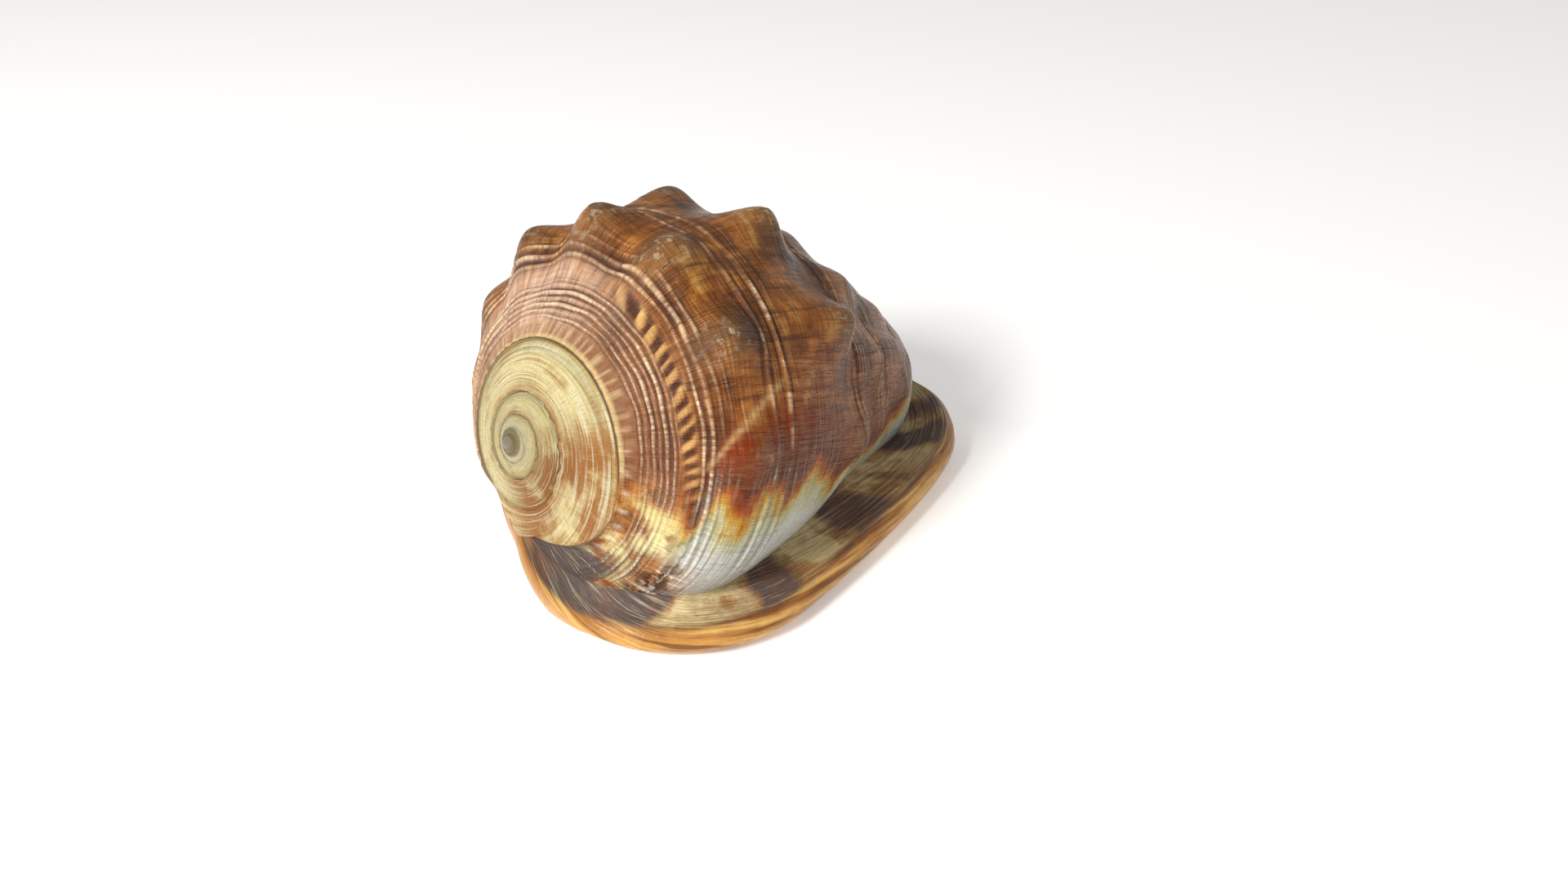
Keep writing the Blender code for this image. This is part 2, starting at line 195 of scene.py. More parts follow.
# Underside. A flange leaves the last whorl and rolls into the thick outer lip. Its
# flat sole, the toothed slit with the hollow behind it and the polished shield
# follow, each laid down as one curve from the rear end to the canal.
RIM = ((0, .5, -5.5, 15), (.03, -1.6, -8.5, 12), (.07, -3.6, -18, 9), (.12, -2.2, -29, 7.5),
       (.18, 3, -40, 7), (.25, 11, -50, 7), (.32, 21.5, -57.5, 7), (.4, 36, -61.5, 7),
       (.5, 58, -60.2, 7), (.6, 80, -57.2, 7.5), (.7, 101.5, -53.4, 8), (.79, 120, -48.6, 9),
       (.85, 131, -44, 10), (.9, 139, -37, 11.5), (.95, 146, -25, 13), (1, 148, -6, 14))
SLIT = ((0, .9, -3.5, 0), (.03, .2, -3.5, 1.5), (.07, .6, -6.5, 3), (.12, 4, -13, 5.5),
        (.18, 9, -20, 8), (.25, 17, -26, 10), (.32, 26, -29.5, 10.5), (.4, 38, -31.5, 11),
        (.5, 57, -31, 11), (.6, 77, -28, 11), (.7, 97, -23, 10.5), (.79, 114, -18, 10),
        (.85, 125, -14, 9), (.9, 134, -11, 7.5), (.95, 142, -8, 5), (1, 148, -6, 0))
SHIELD = ((0, 1.5, -2, 31), (.03, 1.4, 0, 21), (.07, 2.6, 4.5, 11), (.12, 6.5, 11.5, 6),
          (.18, 12.5, 21, 3.6), (.25, 20, 31, 2.8), (.32, 27, 39, 2.6), (.4, 39, 43.5, 2.6),
          (.5, 57, 45, 2.6), (.6, 77, 42, 2.6), (.7, 97, 36.5, 2.8), (.79, 114, 29, 3.4),
          (.85, 125, 23, 4.5), (.9, 134, 17, 6.5), (.95, 143, 8, 9.5), (1, 148, -6, 14))
SOLE = ((0, 22), (.03, 11), (.07, 5), (.12, 1.6), (.17, -.2), (.22, -.4), (.8, -.4), (.86, -.3),
        (.9, .8), (.95, 4.5), (1, 14))
HOLLOW_DEPTH = ((0, 0), (.06, 0), (.09, 0), (.12, 4), (.16, 11), (.22, 22), (.3, 32),
                (.45, 36), (.6, 30), (.75, 20), (.85, 12), (.92, 6), (.97, 2), (1, 0))
EDGE_SIZE = ((0, 0), (.03, .15), (.06, .45), (.1, .8), (.15, 1), (.85, 1), (.93, .6), (1, 0))
REAR_END = 0.09
REAR_SWELL = (-1.5, 0.0, -1.0)
RIM_ROLL = 3.0
RIM_CREST = 3.0
RIM_UNDERCUT = 5.0
FLANGE_DISH = 1.0
LIP_EDGE_ROUND = 2.2
SHIELD_EDGE = 3.0
HOLLOW_FULL_DEPTH = 12.0
TEETH = 25
TOOTH_REACH = 1.1
TEETH_SPAN = (0.14, 0.86)
UNDERSIDE_STEPS = (11, 6, 6, 5, 4, 6, 6, 3, 3, 4, 4, 3, 3, 6, 10, 8, 4, 4, 4)


def curve_points(table, station):
    """World points of an underside curve at each station."""
    points = np.stack([along(table, station, k) for k in (1, 2, 3)], -1)
    return points - np.array([*BOX_MIDDLE, 0.0])


def inward(table, station):
    """Level unit vector square to an underside curve, on its shield side."""
    step = 1e-3
    ahead = curve_points(table, np.clip(station + step, 0, 1))
    behind = curve_points(table, np.clip(station - step, 0, 1))
    way = (ahead - behind)[:, :2]
    way = way / (np.linalg.norm(way, axis=1, keepdims=True) + 1e-9)
    return np.stack([-way[:, 1], way[:, 0], 0 * station], -1)


def tooth_wave(station):
    """Teeth along the slit: a cosine with one period a tooth, faded at both ends."""
    fade = ease(TEETH_SPAN[0], TEETH_SPAN[0] + 0.05, station)
    fade = fade * ease(1 - TEETH_SPAN[1], 1.05 - TEETH_SPAN[1], 1 - station)
    return np.cos(2 * math.pi * TEETH * station) * fade


def underside_keys(station, flange, shield_top):
    """Points that each section runs through: flange, rolled rim, sole of the lip,
    up the hollow and down the columella, shield and its edge. Each is an underside
    curve moved inwards or upwards by a part of that edge's size."""
    up = np.array([0, 0, 1.0])
    rim, slit, shield = (curve_points(t, station) for t in (RIM, SLIT, SHIELD))
    to_body, across, to_back = (inward(t, station) for t in (RIM, SLIT, SHIELD))
    size = along(EDGE_SIZE, station)[:, None]
    sole = along(SOLE, station)[:, None]
    deep = along(HOLLOW_DEPTH, station)[:, None]
    half = along(SLIT, station, 3)[:, None] / 2
    gap = half - TOOTH_REACH * tooth_wave(station)[:, None]
    middle = np.concatenate([slit[:, :2], sole], 1)
    edge_rise = np.minimum(LIP_EDGE_ROUND * size, 0.2 * deep)
    crest = rim + to_body * RIM_ROLL * size + up * RIM_CREST * size
    dish = 0.5 * flange + 0.5 * crest - up * FLANGE_DISH * size
    foot = np.concatenate([(rim + to_body * RIM_UNDERCUT * size)[:, :2], sole], 1)
    lip_edge = middle - across * (gap + LIP_EDGE_ROUND * size)
    open_share = np.clip(deep / HOLLOW_FULL_DEPTH, 0, 1)
    lean = size * open_share
    near_side = half * (0.7 + 0.3 * open_share)
    far_side = half * (0.35 + 0.65 * open_share)
    hollow = [
        middle - across * gap + up * edge_rise,
        middle - across * (near_side + 1.2 * lean) + up * 0.40 * deep,
        middle - across * (far_side + 2.0 * lean) + up * 0.78 * deep,
        middle - across * 1.0 * lean + up * deep,
        middle + across * (far_side - 1.0 * lean) + up * 0.78 * deep,
        middle + across * near_side + up * 0.40 * deep,
        middle + across * gap + up * edge_rise,
    ]
    shield_inner = middle + across * (gap + LIP_EDGE_ROUND * size)
    shield_foot = np.concatenate([(shield - to_back * SHIELD_EDGE * size)[:, :2], sole], 1)
    shoulder = 0.35 * shield + 0.65 * shield_top - up * 1.2 * size
    return np.stack([
        flange, dish, crest, rim, foot, 0.5 * (foot + lip_edge), lip_edge, *hollow,
        shield_inner, 0.5 * (shield_inner + shield_foot), shield_foot, shield, shoulder,
        shield_top])


SHARE = np.concatenate([k + np.arange(n) / n for k, n in enumerate(UNDERSIDE_STEPS)])[1:]


def underside_of(station, back):
    """Sections of the underside: cubic pieces between the keys, whose tangents are
    the neighbouring chords' directions weighted by the other chord's length."""
    flange, shield_top = back[:, -1], back[:, 0]
    keys = underside_keys(station, flange, shield_top)
    before = flange + back[:, -2] - back[:, -1]
    after = shield_top + back[:, 1] - back[:, 0]
    keys = np.concatenate([before[None], keys, after[None]])
    k = SHARE.astype(int)
    t = (SHARE - k)[:, None, None]
    chord = np.linalg.norm(np.diff(keys, axis=0), axis=-1, keepdims=True) + 1e-9
    way = np.diff(keys, axis=0) / chord
    turn = (way[:-1] * chord[1:] + way[1:] * chord[:-1]) / (chord[:-1] + chord[1:])
    reach = chord[k + 1]
    points = ((2 * t**3 - 3 * t**2 + 1) * keys[k + 1] + (t**3 - 2 * t**2 + t) * reach * turn[k]
              + (3 * t**2 - 2 * t**3) * keys[k + 2] + (t**3 - t**2) * reach * turn[k + 1])
    points = np.swapaxes(points, 0, 1)
    points[..., 2] = np.maximum(points[..., 2], 0)
    return points


def fill_between(start, end, count):
    """Evenly spaced points between two columns of points, ends left out."""
    line = np.linspace(0, 1, count + 2)[1:-1][None, :, None]
    return start[:, None] * (1 - line) + end[:, None] * line


SEAM_LINE = np.linspace(0, 1, len(SHARE) + 2)[1:-1]
SEAM_FINAL = math.radians(FLANGE_ANGLE[0][1])
SEAM_FIRST = math.radians(SHIELD_ANGLE[0][1])
SEAM_ANGLE = SEAM_FINAL * (1 - SEAM_LINE) + (SEAM_FIRST + 2 * math.pi) * SEAM_LINE

seam_ends = suture_radius(np.array([SEAM_FINAL, SEAM_FIRST]))
seam_radius = seam_ends[0] * (1 - SEAM_LINE) + seam_ends[1] * SEAM_LINE
seam = to_world(cone(seam_radius), seam_radius, SEAM_ANGLE)[None]
rear_back = back_of(np.array([REAR_END]), column)[0]
goal = underside_of(np.array([REAR_END]), rear_back)
part = (station / REAR_END)[:, None]
flange_gap = back[:, -1] - (back[:1, -1] * (1 - part) + rear_back[:, -1] * part)
shield_gap = back[:, 0] - (back[:1, 0] * (1 - part) + rear_back[:, 0] * part)
ends = (ease(0, 0.2, SEAM_LINE) * ease(0, 0.2, 1 - SEAM_LINE))[None, :, None]
swell = np.sin(math.pi * np.clip(part, 0, 1))[:, None] * ends * np.array(REAR_SWELL)
morph = seam * (1 - part[:, None]) + goal * part[:, None] + swell
morph = morph + fill_between(flange_gap, shield_gap, len(SHARE))
underside = np.where(part[:, None] < 1, morph, underside_of(station, back))

# Spire. Five earlier whorls wind in to the apex. Each overlaps the one before with
# a small raised edge at the suture, and swells gently between two sutures.
WHORL_FRACTIONS = (0.0015, 0.02, 0.05, 0.09, 0.14, 0.19, 0.24, 0.29, 0.34, 0.39, 0.44, 0.49, 0.54,
                   0.59, 0.64, 0.69, 0.74, 0.79, 0.84, 0.88, 0.92, 0.95, 0.98, 0.9985)
WHORL_THINNING = (1, 2, 2, 3, 4)
WHORL_SWELL = 0.085
SUTURE_STEP = 0.085
SUTURE_STEP_REACH = 0.09
STEP_FADE_ANGLES = (1.9, 2.7)
STEP_FADE_RADII = (11, 14)
SUTURE_BEADS = 26
SUTURE_BEAD_SHARE = 0.22
TIP_RISE = 1.0
TIP_REACH = 3.2
DOME_RISE = 0.5
DOME_REACH = 1.4


def spire_rows():
    """Turns before the last suture of each spire row, from the apex outwards."""
    rows = []
    for whorl, keep in enumerate(WHORL_THINNING):
        inner = WHORL_FRACTIONS[1:-1][::keep]
        chosen = (WHORL_FRACTIONS[0], *inner, WHORL_FRACTIONS[-1])
        rows.append(np.array(chosen) - whorl - 1)
    return np.concatenate(rows[::-1])


turns = spire_rows()[:, None]
back_angle = angle[:1]
near_lip = ease(-0.6, 0, turns)
whorl_radius = np.exp(suture_log(back_angle + 2 * math.pi * turns)) * tuck(back_angle)**near_lip
seam_rows = whorl_radius[:, -1:] * (1 - SEAM_LINE) + whorl_radius[:, :1] * SEAM_LINE
spire_radius = np.concatenate([whorl_radius, seam_rows], 1)
spire_angle = np.concatenate([back_angle[0], SEAM_ANGLE])[None, :]
spire_turn = (suture_angle(np.log(spire_radius)) - spire_angle) / (2 * math.pi)
whorl_index = np.floor(np.minimum(spire_turn, -1e-4))
whorl_part = spire_turn - whorl_index
growth_angle = spire_angle + 2 * math.pi * whorl_index
swelling = WHORL_SWELL * np.sin(math.pi * np.clip(whorl_part, 0, 1))**0.8
bead = 1 + SUTURE_BEAD_SHARE * (np.sin(SUTURE_BEADS * growth_angle) + np.sin(11 * growth_angle))
step_share = 1 - ease(*STEP_FADE_ANGLES, spire_angle) * ease(*STEP_FADE_RADII, spire_radius)
step = SUTURE_STEP * step_share * bead * np.exp(-np.clip(whorl_part, 0, 1) / SUTURE_STEP_REACH)
swelling = swelling + step


def tip_rise(radius):
    """Height of the turreted tip and its dome: two terms h exp(-(radius/reach)^n)."""
    turret = TIP_RISE * np.exp(-(radius / TIP_REACH)**2)
    return turret + DOME_RISE * np.exp(-(radius / DOME_REACH)**4)


lifted = swelling * spire_radius * ease(0.6, 3.0, spire_radius) + tip_rise(spire_radius)
spire = to_world(cone(spire_radius) - lifted, spire_radius, spire_angle)
apex = to_world(np.array([-tip_rise(0.0)]), np.array([0.0]), np.array([0.0]))[0]

# Relief of the last whorl. Rows of blunt knobs stand between spiral cords. A row
# of short bars lies on the ramp, and a pleated band follows the suture.
KNOB_ROWS = (
    (0.215, 0.010, -116.0, 27.0, 8, 7.6),
    (0.458, 0.120, -109.0, 30.5, 7, 7.8),
    (0.640, 0.080, -74.0, 25.0, 7, 3.6),
    (0.800, 0.040, -72.0, 20.0, 8, 2.2),
)
KNOB_RADIUS = 7.0
KNOB_POINT = 1.8
KNOB_RUN_OUT = 0.55
KNOB_GROWTH_ANGLES = (-2.1, 0.0)
KNOB_SINK_ANGLES = (0.5, 1.6)
KNOB_SINK = 0.5
ROW_CLIMB_ANGLES = (0.2, 1.6)
KNOB_SHADE = 12.0
CORDS = (
    (0.045, 0.0020, 0.50), (0.056, 0.0018, 0.46), (0.068, 0.0024, 0.66), (0.079, 0.0016, 0.40),
    (0.090, 0.0026, 0.72), (0.102, 0.0018, 0.46), (0.110, 0.0014, 0.24),
    (0.149, 0.0026, 0.50), (0.164, 0.0034, 0.64), (0.181, 0.0026, 0.44), (0.197, 0.0020, 0.22),
    (0.262, 0.0026, 0.26), (0.284, 0.0046, 0.60), (0.325, 0.0050, 0.65), (0.350, 0.0026, 0.28),
    (0.392, 0.0024, 0.18), (0.565, 0.0036, 0.46), (0.592, 0.0040, 0.50), (0.700, 0.0036, 0.44),
    (0.722, 0.0036, 0.44), (0.760, 0.0030, 0.34), (0.850, 0.0034, 0.38), (0.880, 0.0034, 0.38),
    (0.910, 0.0034, 0.38), (0.940, 0.0034, 0.34),
)
CORD_DRIFT = 0.010
CORD_WAVER = 0.0014
BAR_STATION = 0.128
BAR_HALF_WIDTH = 0.0135
BAR_STEP = 4.6
EARLY_BAR_STEP = 7.6
BAR_TURN = 42.0
BAR_LEAN = 110.0
BAR_HEIGHT = 0.95
PLEAT_STEP = 5.8
PLEAT_HEIGHT = 0.30
PLEAT_END = 0.040
PLEAT_TURNS = (35, 75)
LUMP_STATION = 0.018
LUMP_STEP = 8.0
LUMP_HEIGHT = 0.38
SUTURE_EDGE = 0.75


def unit_normals(points):
    """Outward unit normals: the cross product of the grid's two directions."""
    normal = np.cross(np.gradient(points, axis=1), np.gradient(points, axis=0))
    return normal / (np.linalg.norm(normal, axis=-1, keepdims=True) + 1e-9)


def knobs(points, around):
    """Blunt cones h exp(-(d/r)^p) on the knob rows, where d is shortened towards the
    suture so that each runs out that way. Returns the relief, a mask of the knobs
    and a signed mask for painted shade on the side that grew after each knob and a
    painted highlight on the side before it."""
    height, top, after = (np.zeros(points.shape[:-1]) for _ in range(3))
    for place, climb, first, step, count, size in KNOB_ROWS:
        for k in range(count):
            middle = np.array([math.radians(first + step * k)])
            at = place + climb * ease(*ROW_CLIMB_ANGLES, middle)
            centre = last_whorl(at, middle)[0]
            to_suture = last_whorl(at - 0.01, middle)[0] - centre
            to_suture = to_suture / np.linalg.norm(to_suture)
            offset = points - centre
            run = np.maximum(offset @ to_suture, 0) * (1 - KNOB_RUN_OUT)
            gap = np.linalg.norm(offset - run[..., None] * to_suture, axis=-1)
            share = ease(*KNOB_GROWTH_ANGLES, middle)
            share = share * (1 - KNOB_SINK * ease(*KNOB_SINK_ANGLES, middle))
            cone_share = share * np.exp(-(gap / KNOB_RADIUS)**KNOB_POINT)
            height = np.maximum(height, size * cone_share)
            weight = min(size / 5, 1)
            top = np.maximum(top, weight * cone_share)
            side = np.exp(-(np.linalg.norm(offset, axis=-1) / KNOB_SHADE)**2)
            # Signed mask: painted shade on the side that grew after the knob, painted highlight on the side
            # before it.
            after += weight * share * side * np.clip((around - middle) * 5, -1, 1)
    return height, top, after


rows = station[:, None]
drift = rows + CORD_DRIFT * np.sin(angle * 1.3 + 0.6) * ease(0.1, 0.5, rows)
drift = drift + CORD_WAVER * (np.sin(angle * 9 + 40 * rows) + 0.6 * np.sin(angle * 21 - 90 * rows))
cord = np.zeros(angle.shape)
groove = np.zeros(angle.shape)
for place, width, height in CORDS:
    gap = (drift - place) / width
    size = height * (0.72 + 0.28 * np.sin(angle * 6 + 300 * place))
    cord += size * np.exp(-gap**2)
    groove += size * np.exp(-(np.abs(gap) - 2.0)**2 / 0.5)
degrees = np.degrees(angle)
bar_row = np.exp(-((rows - BAR_STATION + 0.010 * np.exp(-((degrees - 42) / 22)**2)
                    - 0.016 * ease(70, 105, degrees)) / BAR_HALF_WIDTH)**4)
past = degrees - BAR_TURN + BAR_LEAN * (rows - BAR_STATION)
bar_phase = np.where(past > 0, past / BAR_STEP, past / EARLY_BAR_STEP)
bar_phase = bar_phase + 0.18 * np.sin(angle * 9) + 0.10 * np.sin(angle * 23)
bar_wave = ease(-0.35, 0.5, np.cos(2 * math.pi * bar_phase))
bar = bar_row * ease(8, 24, degrees) * (1 - ease(112, 122, degrees))
pleat_phase = degrees / PLEAT_STEP + 0.6 * np.sin(angle * 3) + 0.25 * np.sin(angle * 17)
pleat_row = ease(0, 0.006, rows) * ease(0, 0.012, PLEAT_END - rows)
pleat_row = pleat_row * (1 - 0.75 * ease(PLEAT_TURNS[0], PLEAT_TURNS[1], np.abs(degrees)))
pleat = pleat_row * np.cos(2 * math.pi * pleat_phase)
lumps = LUMP_HEIGHT * np.cos(2 * math.pi * degrees / LUMP_STEP + 2 * np.sin(angle * 3))
lumps = lumps * np.exp(-((rows - LUMP_STATION) / 0.013)**2) * ease(30, 60, np.abs(degrees - 10))
knob_height, knob_top, knob_shade_highlight = knobs(back, angle)
worn = 1 - 0.9 * ease(0.45, 0.8, knob_top)
cord, groove = cord * worn, groove * worn
edge = ease(0, 0.06, column) * ease(0, 0.06, 1 - column)
lift = (knob_height * ease(0, 0.08, rows) + cord - 0.35 * groove + bar * (BAR_HEIGHT * bar_wave - 0.25)
        + PLEAT_HEIGHT * pleat + lumps + SUTURE_EDGE * np.exp(-rows / 0.008)) * edge
back_normal = unit_normals(back)
back = back + back_normal * lift[..., None]

# Markings. Colour was laid down with the growth: chestnut over cream on the back, a
# pale stripe where the whorl turns into the lip, and dark blots along the flange.
PALE_EDGE = ((0, 100), (.04, 97), (.08, 94), (.12, 97), (.145, 101), (.17, 90), (.21, 92),
             (.24, 92), (.28, 87), (.33, 88), (.40, 85), (.45, 83), (.53, 91), (.57, 85),
             (.61, 84), (.66, 90), (.74, 88), (.80, 80), (.86, 72), (.93, 66), (1, 60))
PALE_EDGE_UNIT = 10.0
REST_LINE = ((0, 88), (.153, 77), (.196, 69), (.278, 60), (.34, 56), (1, 40))
REST_LINE_WIDTH = 0.9
FLANGE_BLOTS = ((.045, .035, 1.0), (.115, .030, .8), (.172, .030, 1.0), (.405, .042, .9), (.612, .046, 1.0),
                (.720, .018, .35), (.849, .034, 1.0), (.930, .020, .7))


def blots(place):
    """Dark share along the flange: a sum of w exp(-((s - s0)/r)^2) over the blots."""
    return sum(weight * np.exp(-((place - middle) / reach)**2)
               for middle, reach, weight in FLANGE_BLOTS)


pale = (degrees - along(PALE_EDGE, rows)) / PALE_EDGE_UNIT
rest_line = np.exp(-((degrees - along(REST_LINE, rows)) / REST_LINE_WIDTH)**2)
rest_line = rest_line * ease(0.13, 0.17, rows) * ease(0, 0.04, 0.33 - rows)
orange = ease(-6, 3, degrees - along(REST_LINE, rows)) * ease(0.13, 0.18, rows) * ease(0, 0.2, 0.52 - rows)
rear = 1 - ease(0.10, 0.15, rows)
streak = np.exp(-((rows - 0.145) / 0.055)**2) * ease(104, 117, degrees)
stain = ease(0, 0.03, 0.090 - rows) * ease(114, 134, degrees)
light_ramp = ease(0, 0.05, 0.17 - rows) * ease(0, 55, 35 - degrees)
light_ramp = light_ramp * (1 - 0.6 * ease(15, 65, -degrees))
spire_degrees = np.degrees(spire_angle)
warm = ease(35, 80, spire_degrees) * (1 - ease(150, 200, spire_degrees))
warm = warm * ease(6.0, 12.0, spire_radius)

# Skin. All rows join into one closed mesh, with a fan at the apex and another at
# the canal's tip. Each point keeps where it is on the shell, for the markings.
grid = np.concatenate([spire, np.concatenate([back, underside], 1)])
row_count, column_count = grid.shape[:2]
spire_count = len(spire)
tip = grid[-1].mean(0) + np.array([1.0, 0.0, 0.4])
points = np.concatenate([grid.reshape(-1, 3), apex[None], tip[None]]) * MM
points = np.clip(points, *np.array(cad_box))
index = np.arange(row_count * column_count).reshape(row_count, column_count)
beside = np.roll(index, -1, axis=1)
quads = np.stack([index[:-1], beside[:-1], beside[1:], index[1:]], -1).reshape(-1, 4)
apex_fan = np.stack([beside[0], index[0], np.full(column_count, len(points) - 2)], -1)
tip_fan = np.stack([index[-1], beside[-1], np.full(column_count, len(points) - 1)], -1)
mesh = bpy.data.meshes.new("shell_skin")
mesh.from_pydata(points.tolist(), [], quads.tolist() + apex_fan.tolist() + tip_fan.tolist())
mesh.update()
mesh.shade_smooth()


def keep_on_mesh(name, values, end_values=(0.0, 0.0)):
    """Stores one number a point as an attribute; the two fan centres come last."""
    layer = mesh.attributes.new(name, "FLOAT", "POINT")
    flat = np.concatenate([np.asarray(values, float).ravel(), end_values])
    layer.data.foreach_set("value", flat.astype(np.float32))


def on_grid(spire_part, back_part, underside_part):
    """Joins the values of the three parts into one grid, filling single numbers."""
    spire_grid = np.broadcast_to(spire_part, (spire_count, column_count))
    back_grid = np.broadcast_to(back_part, back.shape[:2])
    underside_grid = np.broadcast_to(underside_part, underside.shape[:2])
    return np.concatenate([spire_grid, np.concatenate([back_grid, underside_grid], 1)])


UNDERSIDE_GROWTH = 0.2
TIP_COLOUR_REACH = 8.0
past_flange = angle[:, -1:] + UNDERSIDE_GROWTH * SHARE
keep_on_mesh("growth", on_grid(growth_angle, angle, past_flange))
keep_on_mesh("across", on_grid(whorl_part, rows, rows), (0.0, 1.0))
keep_on_mesh("apex", on_grid(np.clip(spire_radius / TIP_COLOUR_REACH, 0, 1), 1.0, 1.0), (0.0, 1.0))
keep_on_mesh("on_spire", on_grid(1.0, 0.0, 0.0), (1.0, 0.0))
keep_on_mesh("section", on_grid(0.0, 0.0, SHARE), (0.0, 3.0))
keep_on_mesh("below", on_grid(0.0, 0.0, 1.0), (0.0, 1.0))
keep_on_mesh("cord", on_grid(0.0, (cord + np.maximum(lumps, 0)) * edge, 0.0))
keep_on_mesh("groove", on_grid(0.0, groove * edge, 0.0))
keep_on_mesh("bar", on_grid(0.0, bar * edge, 0.0))
keep_on_mesh("bar_wave", on_grid(0.0, bar_wave, 0.0))
keep_on_mesh("pleat", on_grid(0.0, pleat_row * edge, 0.0))
keep_on_mesh("pleat_wave", on_grid(0.0, np.cos(2 * math.pi * pleat_phase), 0.0))
keep_on_mesh("knob", on_grid(0.0, knob_top * edge, 0.0))
keep_on_mesh("knob_shade_highlight", on_grid(0.0, knob_shade_highlight * edge, 0.0))
keep_on_mesh("pale", on_grid(-9.0, pale, 0.0), (-9.0, 0.0))
keep_on_mesh("rest_line", on_grid(0.0, rest_line, 0.0))
keep_on_mesh("orange", on_grid(0.0, orange, 0.0))
keep_on_mesh("rear", on_grid(0.0, rear, 0.0))
keep_on_mesh("streak", on_grid(0.0, streak, 0.0))
keep_on_mesh("light_ramp", on_grid(0.0, light_ramp, 0.0))
keep_on_mesh("warm", on_grid(warm, 0.0, 0.0))
keep_on_mesh("blot", on_grid(0.0, stain, blots(rows)))
keep_on_mesh("tooth", on_grid(0.0, 0.0, tooth_wave(rows)))

shell = bpy.data.objects.new("shell_skin", mesh)
bpy.context.scene.collection.objects.link(shell)

# Finish. Polished natural shell: aragonite with a soft gloss, smooth to the
# touch, chestnut over cream, so highlights are soft and the colour looks deep.
material = bpy.data.materials.new("polished_chestnut_shell")
material.use_nodes = True
tree = material.node_tree
tree.nodes.clear()


def linear(hex_colour):
    """Linear RGBA of an sRGB hex colour."""
    channels = [int(hex_colour[k:k + 2], 16) / 255 for k in (1, 3, 5)]
    return tuple(c / 12.92 if c <= 0.04045 else ((c + 0.055) / 1.055)**2.4 for c in channels) + (1.0,)


def put(kind, *inputs, stops=(), output=0, **settings):
    """Adds a node and returns one of its outputs. Settings are the node's own, each
    input is a value or another node's output, None keeps a default, and stops are a
    ramp's places and colours or greys."""
    node = tree.nodes.new("ShaderNode" + kind)
    for name, value in settings.items():
        setattr(node, name, value)
    for socket, value in zip([s for s in node.inputs if not s.is_unavailable], inputs):
        if isinstance(value, bpy.types.NodeSocket):
            tree.links.new(value, socket)
        elif value is not None:
            socket.default_value = linear(value) if isinstance(value, str) else value
    for k, (place, shade) in enumerate(stops):
        elements = node.color_ramp.elements
        element = elements[k] if k < 2 else elements.new(place)
        element.position = place
        element.color = linear(shade) if isinstance(shade, str) else (shade, shade, shade, 1.0)
    return [s for s in node.outputs if not s.is_unavailable][output]


kept = {name: put("Attribute", attribute_name=name, output=2) for name in (
    "growth", "across", "apex", "on_spire", "section", "below", "cord", "groove", "bar", "bar_wave",
    "pleat", "pleat_wave", "knob", "knob_shade_highlight", "pale", "rest_line", "orange", "rear", "streak",
    "light_ramp", "warm", "blot", "tooth")}
place = put("TexCoord", output=3)
grown = put("CombineXYZ", kept["growth"], kept["across"], kept["on_spire"])

# Four grains. Growth lines run across the whorl, threads along it; mottle and patch
# are the soft clouds of colour, and speckle gives the painted glints on the knobs.
MOTTLE_SCALE = (3.2, 14.0, 7.0)
GROWTH_SCALE = (42.0, 8.0, 3.0)
THREAD_SCALE = (3.0, 150.0, 3.0)
STREAK_SCALE = (26.0, 5.0, 3.0)
mottle = put("TexNoise", put("VectorMath", grown, MOTTLE_SCALE, operation="MULTIPLY"), 1.0, 5.0, 0.62)
growth_line = put("TexNoise", put("VectorMath", grown, GROWTH_SCALE, operation="MULTIPLY"),
                  1.0, 3.0, 0.65)
thread = put("TexNoise", put("VectorMath", grown, THREAD_SCALE, operation="MULTIPLY"), 1.0, 3.0, 0.6)
streaks = put("TexNoise", put("VectorMath", grown, STREAK_SCALE, operation="MULTIPLY"), 1.0, 3.0, 0.6)
patch = put("TexNoise", place, 75.0, 4.0, 0.6)
lump = put("TexNoise", place, 150.0, 3.0, 0.5)
speckle = put("TexNoise", place, 420.0, 3.0, 0.6)
some = put("MapRange", patch, 0.38, 0.62)

# Chestnut back: brown clouds, then growth lines and threads that come and go, the
# cords' cream crests with a painted highlight, dark lines with painted shade in
# their grooves, the bars, the pleats, the knobs' painted shade and highlight, and
# painted glints on the knob tops.
chestnut = put("ValToRGB", mottle, stops=((.34, "#3d230e"), (.44, "#6a3d14"), (.54, "#8f531c"),
                                          (.66, "#c08a3f")))
cord_bead = put("ValToRGB", growth_line, stops=((.38, .2), (.60, 1.0)))
# Cream beads on the cords' crests, with a painted highlight along the crests.
crest = put("Math", put("MapRange", kept["cord"], 0.06, 0.42), cord_bead, operation="MULTIPLY")
back_part = put("MapRange", kept["across"], 0.20, 0.26)
sporadic = put("Mix", back_part, put("MapRange", patch, 0.40, 0.56, 0.45, 1.0),
               put("MapRange", lump, 0.48, 0.60, 0.12, 0.9))
crest = put("Math", crest, sporadic, operation="MULTIPLY")
# Dark lines in the cords' grooves, with painted shade.
groove_line_and_shade = put("MapRange", kept["groove"], 0.0, 0.55, 0.0, 0.85)
gap_share = put("Math", kept["bar"], put("MapRange", kept["bar_wave"], 0.5, 0.0), operation="MULTIPLY")
bar_share = put("Math", kept["bar"], put("MapRange", kept["bar_wave"], 0.4, 1.0), operation="MULTIPLY")
pleat_top = put("Math", kept["pleat"], put("MapRange", kept["pleat_wave"], 0.0, 0.9),
                operation="MULTIPLY")
# Painted glints: pale flecks standing for highlights on the knob tops.
painted_knob_glint = put("Math", put("MapRange", kept["knob"], 0.35, 0.95),
            put("ValToRGB", speckle, stops=((.54, 0.0), (.64, 1.0))), operation="MULTIPLY")
